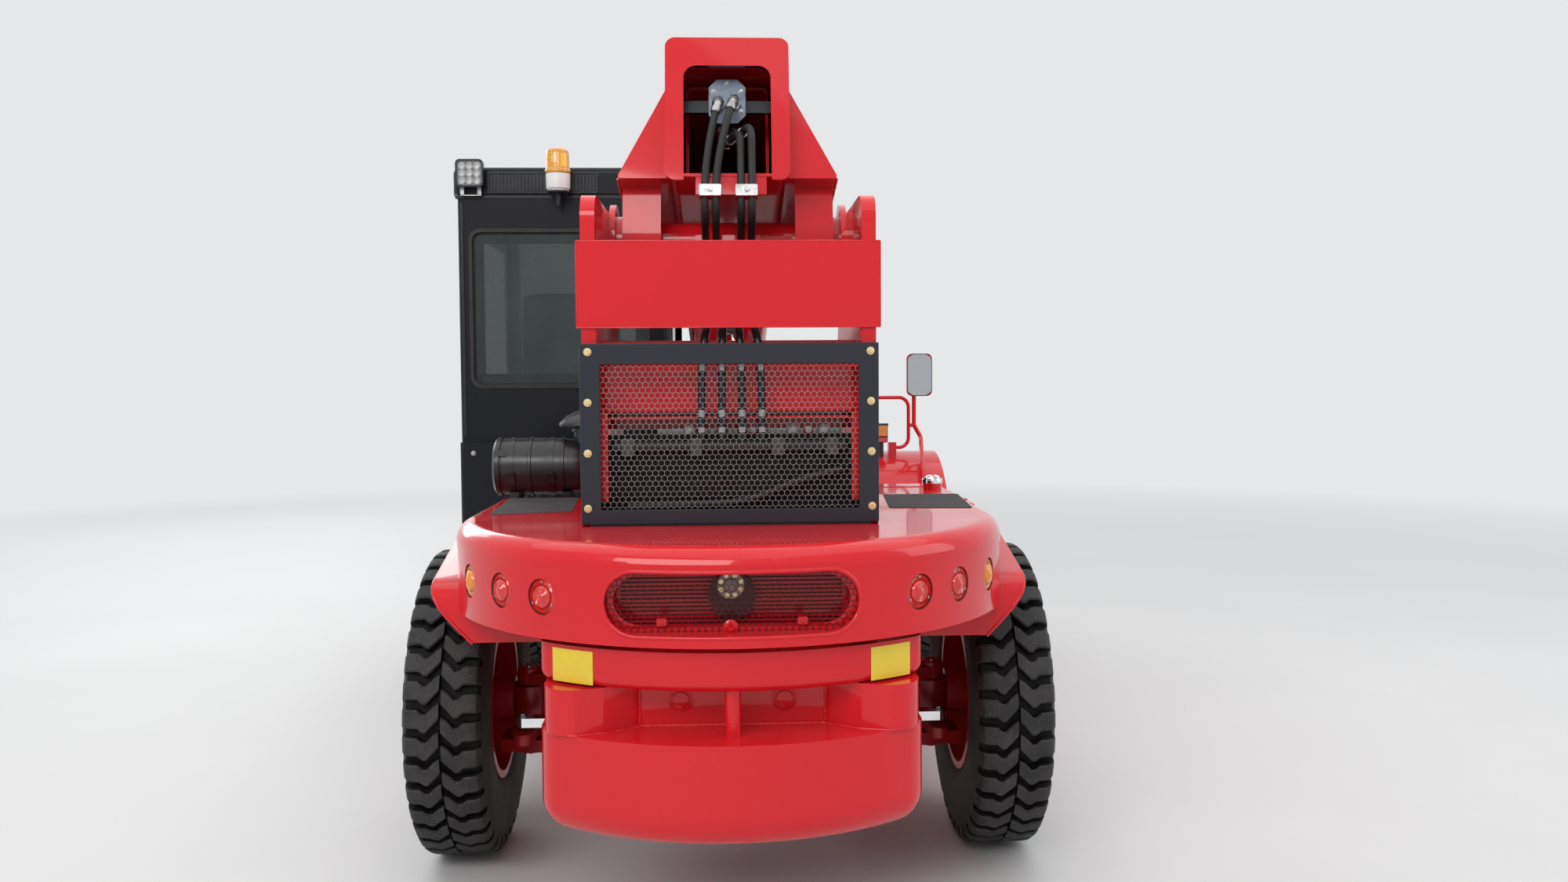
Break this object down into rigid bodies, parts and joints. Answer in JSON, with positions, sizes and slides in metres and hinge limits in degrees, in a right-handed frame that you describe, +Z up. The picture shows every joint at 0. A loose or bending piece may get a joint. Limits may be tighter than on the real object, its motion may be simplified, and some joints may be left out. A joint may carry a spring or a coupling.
{
  "type": "telescopic-boom rough-terrain forklift",
  "caption": "Four-wheel rough-terrain forklift with a telescopic boom between rear towers, side cab, steered rear axle, counterweight and tilting fork carriage.",
  "frame": {"origin": "on the ground under the middle of the overall length, on the centre plane", "axes": "+Y forward towards the forks, +X to the driver's right, +Z up"},
  "size_m": [2.399, 6.92, 2.674],
  "materials": {
    "amber_lens": "clear",
    "black_paint": "satin",
    "bright_rod": "polished",
    "chassis_black": "satin",
    "dark_plastic": "matt",
    "engine_iron": "rough",
    "fork_steel": "satin",
    "hose_rubber": "matt",
    "lamp_lens": "clear",
    "red_paint": "gloss",
    "rim_paint": "gloss",
    "seat_vinyl": "grained",
    "tyre_rubber": "matt",
    "window_glass": "clear"
  },
  "bodies": {
    "chassis": {"air_cleaner": "black_paint", "battery_box": "black_paint", "beacon": "amber_lens", "cab_glass": "window_glass", "cab_roof": "black_paint", "cab_shell": "black_paint", "chassis_frame": "red_paint", "control_console": "dark_plastic", "counterweight": "red_paint", "engine": "engine_iron", "front_axle": "red_paint", "front_fender_left": "red_paint", "front_fender_right": "red_paint", "fuel_tank": "red_paint", "handrail": "red_paint", "hood_grille": "black_paint", "name_board": "red_paint", "operator_seat": "seat_vinyl", "radiator": "dark_plastic", "rear_fender_left": "red_paint", "rear_fender_right": "red_paint", "rear_grille": "black_paint", "rear_hood": "red_paint", "right_mirror": "red_paint", "steer_axle": "red_paint", "steer_cylinder": "chassis_black", "tail_lamps": "lamp_lens", "turn_lamps": "amber_lens", "work_lamps": "black_paint"},
    "boom": {"boom_base": "red_paint", "boom_hose_1": "hose_rubber", "boom_hose_2": "hose_rubber", "boom_hose_3": "hose_rubber", "boom_hose_4": "hose_rubber", "extension_cylinder": "chassis_black"},
    "boom_middle_section": {"boom_middle": "red_paint"},
    "boom_inner_section": {"boom_inner": "red_paint"},
    "lift_barrel_body": {"lift_barrel": "chassis_black"},
    "lift_rod_body": {"lift_rod": "bright_rod"},
    "tilt_barrel_body": {"tilt_barrel": "chassis_black"},
    "tilt_rod_body": {"tilt_rod": "bright_rod"},
    "carriage": {"fork_carriage": "fork_steel", "forks": "fork_steel"},
    "door": {"cab_door": "black_paint", "door_glass": "window_glass"},
    "knuckle_left_body": {"knuckle_left": "red_paint"},
    "knuckle_right_body": {"knuckle_right": "red_paint"},
    "steering_rod": {"steer_rod": "bright_rod"},
    "wheel_rear_left": {"tyre_rear_left": "tyre_rubber", "rim_rear_left": "rim_paint"},
    "wheel_rear_right": {"tyre_rear_right": "tyre_rubber", "rim_rear_right": "rim_paint"},
    "wheel_front_left": {"tyre_front_left": "tyre_rubber", "rim_front_left": "rim_paint"},
    "wheel_front_right": {"tyre_front_right": "tyre_rubber", "rim_front_right": "rim_paint"}
  },
  "joints": [
    {"name": "boom_lift", "type": "hinge", "parent": "chassis", "child": "boom", "pos_m": [0, -2.36, 2.045], "axis": [1, 0, 0], "range_deg": [0, 60]},
    {"name": "boom_extend_1", "type": "slide", "parent": "boom", "child": "boom_middle_section", "axis": [0, 0.9781, -0.2079], "range_m": [0, 3]},
    {"name": "boom_extend_2", "type": "slide", "parent": "boom_middle_section", "child": "boom_inner_section", "axis": [0, 0.9781, -0.2079], "range_m": [0, 3]},
    {"name": "lift_barrel_swing", "type": "hinge", "parent": "chassis", "child": "lift_barrel_body", "pos_m": [0, -1.76, 0.6], "axis": [1, 0, 0], "range_deg": [-0.5, 15.28]},
    {"name": "lift_rod_slide", "type": "slide", "parent": "lift_barrel_body", "child": "lift_rod_body", "axis": [0, 0.294, 0.9558], "range_m": [-0.002, 0.9065]},
    {"name": "carriage_tilt", "type": "hinge", "parent": "boom_inner_section", "child": "carriage", "pos_m": [0, 2.14, 0.62], "axis": [1, 0, 0], "range_deg": [-75, 15]},
    {"name": "tilt_barrel_swing", "type": "hinge", "parent": "boom_inner_section", "child": "tilt_barrel_body", "pos_m": [0, 1.85, 1.48], "axis": [1, 0, 0], "range_deg": [-1.55, 5.74]},
    {"name": "tilt_rod_slide", "type": "slide", "parent": "tilt_barrel_body", "child": "tilt_rod_body", "axis": [0, 0.4723, -0.8814], "range_m": [-0.0515, 0.2497]},
    {"name": "door_swing", "type": "hinge", "parent": "chassis", "child": "door", "pos_m": [-1.162, -0.845, 1.8], "axis": [0, 0, 1], "range_deg": [0, 95]},
    {"name": "steer_left", "type": "hinge", "parent": "chassis", "child": "knuckle_left_body", "pos_m": [-0.69, -2.26, 0.509], "axis": [0, 0, 1], "range_deg": [-38, 38]},
    {"name": "steer_right", "type": "hinge", "parent": "chassis", "child": "knuckle_right_body", "pos_m": [0.69, -2.26, 0.509], "axis": [0, 0, 1], "range_deg": [-38, 38]},
    {"name": "steer_rod_slide", "type": "slide", "parent": "chassis", "child": "steering_rod", "axis": [1, 0, 0], "range_m": [-0.119, 0.119]},
    {"name": "wheel_spin_rear_left", "type": "hinge", "parent": "knuckle_left_body", "child": "wheel_rear_left", "pos_m": [-0.888, -2.26, 0.509], "axis": [1, 0, 0], "continuous": true},
    {"name": "wheel_spin_rear_right", "type": "hinge", "parent": "knuckle_right_body", "child": "wheel_rear_right", "pos_m": [0.888, -2.26, 0.509], "axis": [1, 0, 0], "continuous": true},
    {"name": "wheel_spin_front_left", "type": "hinge", "parent": "chassis", "child": "wheel_front_left", "pos_m": [-1.042, 0.59, 0.5625], "axis": [1, 0, 0], "continuous": true},
    {"name": "wheel_spin_front_right", "type": "hinge", "parent": "chassis", "child": "wheel_front_right", "pos_m": [1.042, 0.59, 0.5625], "axis": [1, 0, 0], "continuous": true}
  ],
  "couplings": [
    {"joint": "boom_extend_2", "follows": "boom_extend_1", "ratio": 1},
    {"joint": "lift_barrel_swing", "follows": "boom_lift", "ratio": 0.24637},
    {"joint": "lift_rod_slide", "follows": "boom_lift", "m_per_rad": 0.86373},
    {"joint": "tilt_barrel_swing", "follows": "carriage_tilt", "ratio": -0.069916},
    {"joint": "tilt_rod_slide", "follows": "carriage_tilt", "m_per_rad": -0.18921},
    {"joint": "steer_right", "follows": "steer_left", "ratio": 1},
    {"joint": "steer_rod_slide", "follows": "steer_left", "m_per_rad": 0.17637}
  ]
}
